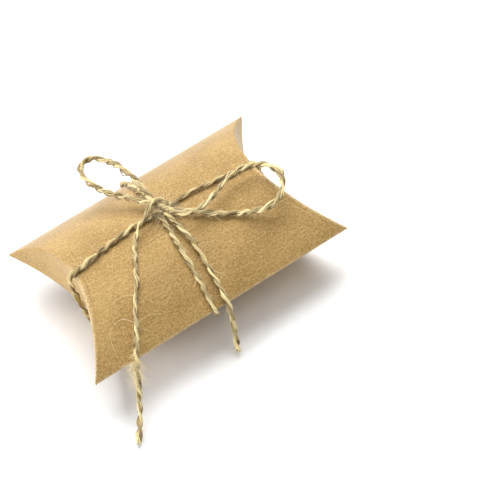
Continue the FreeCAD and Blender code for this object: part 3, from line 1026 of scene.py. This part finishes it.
# length is the cord's own in metres, girth its thickness along the way, and shade the painted shade that
# darkens it
# a route leads from the knot, in millimetres, and strays are long fibres that have come away from it
bow = {
    "bow_loop_left": {
        "length": 0.0695, "farEnd": "object", "seed": 31, "girth": (1.4,), "paintedShade": 0.16,
        "route": [
            (0.1, 1.8, 30.6), (-0.4, 7.4, 31.5), (-0.6, 14.4, 32.7), (-1.6, 21.4, 33.1), (-4.4, 28.6, 32.8),
            (-7.6, 33.8, 32.1), (-12.2, 33.0, 31.3), (-13.0, 26.0, 30.6), (-9.6, 17.4, 30.2),
            (-4.6, 10.4, 29.9), (-0.8, 4.2, 30.0),
        ],
        "strays": [],
    },
    "bow_loop_right": {
        "length": 0.0895, "farEnd": "object", "seed": 32, "girth": (1.1, 1.2, 1.45, 1.4, 1.15), "paintedShade": 0.03,
        "route": [
            (1.2, -0.2, 30.7), (2.7, -4.6, 31.2), (4.8, -8.7, 31.3), (9.7, -9.4, 31.2), (15.2, -7.6, 31.1),
            (20.8, -4.7, 31.2), (27.1, -3.8, 31.3), (32.9, -6.0, 31.3), (35.9, -11.0, 31.1),
            (34.8, -16.7, 30.3), (30.8, -20.3, 28.4), (25.8, -19.1, 26.4), (20.8, -15.7, 25.8),
            (15.6, -12.3, 26.7), (10.6, -8.6, 27.9), (6.4, -4.8, 28.5), (2.6, -1.0, 29.1),
        ],
        "strays": [
            [(33.7, -8.0, 31.2), (34.7, -12.9, 29.9), (33.4, -17.2, 29.0), (29.5, -19.3, 28.1),
             (26.1, -18.5, 26.3)],
            [(31.3, -5.2, 31.2), (33.5, -9.4, 30.3), (33.4, -14.3, 29.3), (30.9, -18.0, 28.1)],
            [(35.3, -14.3, 30.7), (35.8, -19.1, 29.5), (33.4, -23.5, 27.9)],
            [(30.4, -19.4, 28.1), (33.7, -20.6, 23.9), (36.4, -24.2, 21.3)],
            [(22.4, -16.0, 25.7), (24.6, -19.6, 24.2), (28.6, -21.2, 22.8)],
        ],
    },
    "bow_tail_left": {
        "length": 0.0735, "farEnd": "bare", "seed": 33, "girth": (1.0, 1.0, 1.35), "paintedShade": 0.0,
        "route": [
            (0.7, 2.0, 32.2), (-1.6, 2.2, 32.0), (-3.5, 1.1, 31.2), (-5.2, -0.2, 30.5), (-7.6, -1.0, 30.1),
            (-9.9, -2.8, 29.5), (-12.0, -5.4, 28.9), (-15.0, -9.8, 27.7), (-17.2, -14.4, 26.5),
            (-20.0, -18.6, 25.0), (-23.2, -22.9, 22.9), (-25.2, -26.5, 20.9), (-27.6, -29.6, 18.9),
            (-30.0, -32.9, 17.0), (-32.4, -35.9, 13.6), (-34.4, -38.4, 9.6), (-36.8, -41.1, 5.8),
            (-39.8, -44.6, 2.7), (-42.8, -48.6, 1.2),
        ],
        "strays": [
            [(-25.4, -26.0, 21.4), (-27.0, -22.4, 22.2), (-30.9, -22.6, 22.1), (-33.6, -24.7, 20.9),
             (-34.6, -27.8, 18.9), (-34.7, -31.2, 16.2), (-33.9, -35.6, 13.4)],
            [(-26.4, -27.2, 20.2), (-22.9, -27.4, 19.3), (-21.4, -31.6, 16.1)],
            [(-25.0, -26.4, 21.2), (-20.2, -25.0, 21.1), (-18.0, -26.9, 19.8), (-14.6, -27.4, 19.2)],
            [(-21.0, -19.6, 24.6), (-23.3, -16.4, 25.0), (-28.4, -17.6, 24.3)],
        ],
    },
    "bow_tail_right": {
        "length": 0.0515, "farEnd": "bare", "seed": 34, "girth": (1.0, 1.0, 1.35), "paintedShade": 0.0,
        "route": [
            (0.8, -1.2, 29.7), (1.3, -6.4, 29.4), (2.4, -11.6, 27.6), (2.5, -17.4, 25.3), (2.1, -22.4, 23.1),
            (1.8, -27.6, 20.1), (1.4, -31.8, 17.6), (0.7, -34.9, 14.4), (-0.2, -36.1, 9.8),
            (-1.3, -37.4, 5.3), (-3.0, -39.8, 1.5),
        ],
        "strays": [
            [(2.5, -16.4, 25.8), (6.6, -16.6, 25.0), (10.0, -18.2, 23.9)],
            [(2.0, -24.4, 22.0), (5.1, -26.0, 20.3), (5.5, -29.8, 17.4)],
        ],
    },
}

strayFibre = {"step": 0.3 * mm, "radius": 0.055 * mm, "room": 0.08 * mm}

tuft = {
    "strand": "bow_tail_left",
    "from": 0.655,  # share of the strand's length where the tuft starts, and where it ends
    "to": 0.755,
    "hairs": 260,
    "length": (1.5 * mm, 5.5 * mm),
    "towards": (-0.70, -0.10, -0.40),
    "spread": 0.55,
    "curl": 0.4,
    "droop": (0.2, 0, -0.2),
    "seed": 71,
}

# turns of the knot: painted shade, darker the deeper it lies, and route
knot = {
    # the strand that holds the bow: up on the right and over the top, where it becomes the left tail
    "collar": (0.02, [
        (-0.6, -1.6, 28.5), (1.8, -1.2, 28.7), (3.1, 0.2, 29.6), (2.5, 1.4, 31.2), (0.8, 2.0, 32.3),
        (-1.0, 2.2, 32.1),
    ]),
    # the loops' legs where they pass under it
    "upperLegs": (0.12, [
        (-0.3, 4.2, 31.0), (0.1, 1.8, 30.8), (0.7, 0.6, 31.0), (1.3, -0.6, 30.9), (2.0, -2.6, 31.0),
    ]),
    "lowerLegs": (0.4, [
        (-2.4, 6.6, 29.8), (-0.8, 3.4, 29.8), (0.6, 1.0, 29.7), (2.6, -1.0, 29.3), (4.6, -3.0, 28.8),
    ]),
    "underTurn": (0.6, [
        (-3.0, 1.4, 29.2), (-2.2, -0.2, 30.2), (-0.2, -1.2, 30.2), (1.2, -1.8, 29.4), (1.8, -1.6, 28.6),
    ]),
}

knotMake = {"tight": 0.95, "firstSeed": 41, "hairSeed": 47}

knotFuzz = {
    "hairs": 150,
    "length": (2.0 * mm, 7.5 * mm),
    "flatten": 0.35,  # how far the hairs stand up, against how far they reach out
    "curl": 0.4,
    "droop": (0, 0, -0.3),
    "seed": 48,
}


def splinePoints(route):
    # the smooth line that a strand follows, read from a spline with its route as control points
    curve = bpy.data.curves.new("route", "CURVE")
    curve.dimensions = "3D"
    curve.resolution_u = 16
    spline = curve.splines.new("NURBS")
    spline.points.add(len(route) - 1)
    for point, spot in zip(spline.points, route):
        point.co = (spot[0] * mm, spot[1] * mm, spot[2] * mm, 1)
    spline.order_u = 3
    spline.use_endpoint_u = True
    holder = bpy.data.objects.new("route", curve)
    addToScene(holder)
    view = bpy.context.evaluated_depsgraph_get()
    line = bpy.data.meshes.new_from_object(holder.evaluated_get(view))
    points = np.array([v.co for v in line.vertices], float)
    bpy.data.objects.remove(holder)
    bpy.data.curves.remove(curve)
    bpy.data.meshes.remove(line)
    return points


def strayLines(routes):
    lines = [evenly(splinePoints(route), strayFibre["step"])[0] for route in routes]
    return [clearOfCard(line, strayFibre["room"])[None] for line in lines]


def bentBy(rng, facts):
    return rng.normal(0, facts["curl"], (facts["hairs"], 3)) + facts["droop"]


def tuftPiece(spun):
    rng = np.random.default_rng(tuft["seed"])
    count = tuft["hairs"]
    last = len(spun["line"]) - 1
    at = (last * rng.uniform(tuft["from"], tuft["to"], count)).astype(int)
    ways = unit(np.array(tuft["towards"]) + rng.normal(0, tuft["spread"], (count, 3)))
    bends = bentBy(rng, tuft)
    lines = curledLines(spun["line"][at], ways, bends, rng.uniform(*tuft["length"], count))
    return hairPiece(tuft["strand"] + "_tuft", [clearOfCard(lines, strayFibre["room"])], strayFibre["radius"])


def bowStrands():
    for name, facts in bow.items():
        cutEnd = facts["farEnd"] == "bare"
        line = splinePoints(facts["route"])
        spun = spinTwine(line, facts["seed"], cutEnd=cutEnd, girth=facts["girth"], paintedShade=facts["paintedShade"])
        piece = twinePiece(name + "_strand", [spun], facts["seed"], hairy=False)
        fuzz = [hairPiece(name + "_fuzz", [fuzzLines(spun, facts["seed"])], hairs["radius"])]
        if facts["strays"]:
            fuzz.append(hairPiece(name + "_strays", strayLines(facts["strays"]), strayFibre["radius"]))
        if name == tuft["strand"]:
            fuzz.append(tuftPiece(spun))
        onBox(piece, name)
        print(name, "spline length", round(float(spun["place"][-1]), 4))


def bowKnot():
    spun = []
    for seed, (paintedShade, route) in enumerate(knot.values(), knotMake["firstSeed"]):
        spun.append(spinTwine(splinePoints(route), seed, slack=knotMake["tight"], paintedShade=paintedShade))
    onBox(twinePiece("bow_knot_turns", spun, knotMake["hairSeed"]), "bow_knot")
    rng = np.random.default_rng(knotFuzz["seed"])
    count = knotFuzz["hairs"]
    strands = np.concatenate([s["line"] for s in spun])
    ways = unit(rng.normal(0, 1, (count, 3)) * (1, 1, knotFuzz["flatten"]))
    bends = bentBy(rng, knotFuzz)
    starts = strands[rng.integers(0, len(strands), count)]
    lines = curledLines(starts, ways, bends, rng.uniform(*knotFuzz["length"], count))
    hairPiece("bow_knot_fuzz", [clearOfCard(lines, hairs["room"])], hairs["radius"])


bowStrands()
bowKnot()
print("bow tied")


# camera, light and floor

photo = {
    "place": (-61.5 * mm, -290.24 * mm, 330.84 * mm),
    "right": (0.8373, -0.4987, -0.2242),
    "down": (-0.5155, -0.5834, -0.6276),
    "lens": 100.16,
    "sensor": 36.0,
    "nearest": 0.01,
}

studio = {
    "ambient": 0.17,
    # power, size and place of each soft lamp
    "lamps": {
        "keySoftbox": (21.5, 1.05, (0.34, 0.54, 1.02)),
        "leftFill": (14.5, 0.7, (-1.08, 0.10, 0.20)),
        "frontFill": (3.2, 0.9, (0.50, -0.50, 1.00)),
    },
}

paleFloor = {
    "colour": (0.93, 0.93, 0.935, 1),
    "rough": 0.9,
    "gloss": 0.1,
    "size": 6.0,
    "glow": 0.02,  # near the box, only for the camera and mirrors
    "whiteFrom": (0.25, 0.9),  # distances between which it turns plain white
}
white = (1, 1, 1, 1)


def photoCamera():
    camera = bpy.data.objects.new("photoCamera", bpy.data.cameras.new("photoCamera"))
    addToScene(camera)
    right = Vector(photo["right"]).normalized()
    up = -Vector(photo["down"])
    up = (up - right * up.dot(right)).normalized()
    back = right.cross(up)
    turn = Matrix((right, up, back)).transposed()
    camera.matrix_world = Matrix.Translation(photo["place"]) @ turn.to_4x4()
    camera.data.lens = photo["lens"]
    camera.data.sensor_width = photo["sensor"]
    camera.data.clip_start = photo["nearest"]
    bpy.context.scene.camera = camera


def seenLevel(tree, lit, seen):
    # what the camera and mirrors see has its own level, apart from what lights the object
    path = addNode(tree, "ShaderNodeLightPath")
    seenBy = path.outputs["Is Camera Ray"]
    for ray in ("Is Glossy Ray", "Is Transmission Ray"):
        seenBy = combine(tree, "MAXIMUM", seenBy, path.outputs[ray])
    return addNode(tree, "ShaderNodeMix", {"data_type": "FLOAT"}, {0: seenBy, 2: lit, 3: seen}).outputs[0]


def studioLight():
    world = bpy.data.worlds.new("studio")
    bpy.context.scene.world = world
    world.use_nodes = True
    tree = world.node_tree
    level = seenLevel(tree, studio["ambient"], 1.0)
    setInputs(tree, tree.nodes["Background"], {"Color": white, "Strength": level})
    for name, (power, size, place) in studio["lamps"].items():
        lamp = bpy.data.lights.new(name, "AREA")
        lamp.energy = power
        lamp.size = size
        softbox = bpy.data.objects.new(name, lamp)
        softbox.location = place
        softbox.rotation_euler = (-Vector(place)).to_track_quat("-Z", "Y").to_euler()
        addToScene(softbox)


def studioFloor():
    half = paleFloor["size"] / 2
    corners = [(-half, -half, 0), (half, -half, 0), (half, half, 0), (-half, half, 0)]
    material, tree, shader = newMaterial("paleFloor")
    away = addNode(tree, "ShaderNodeVectorMath", {"operation": "LENGTH"}, {0: objectPlace(tree)})
    near, far = paleFloor["whiteFrom"]
    span = {"From Min": near, "From Max": far, "To Min": paleFloor["glow"], "To Max": 1.0}
    glow = addNode(tree, "ShaderNodeMapRange", inputs={"Value": away.outputs["Value"], **span})
    seen = combine(tree, "MULTIPLY", seenLevel(tree, 0.0, 1.0), glow.outputs["Result"])
    light = {"Emission Color": white, "Emission Strength": seen}
    setInputs(tree, shader, {"Base Color": paleFloor["colour"], **light, **finishOf(paleFloor)})
    meshPiece("floor", corners, [[0, 1, 2, 3]], [material])


photoCamera()
studioLight()
studioFloor()
bpy.context.scene.view_settings.view_transform = "Standard"
print("camera, light and floor set")
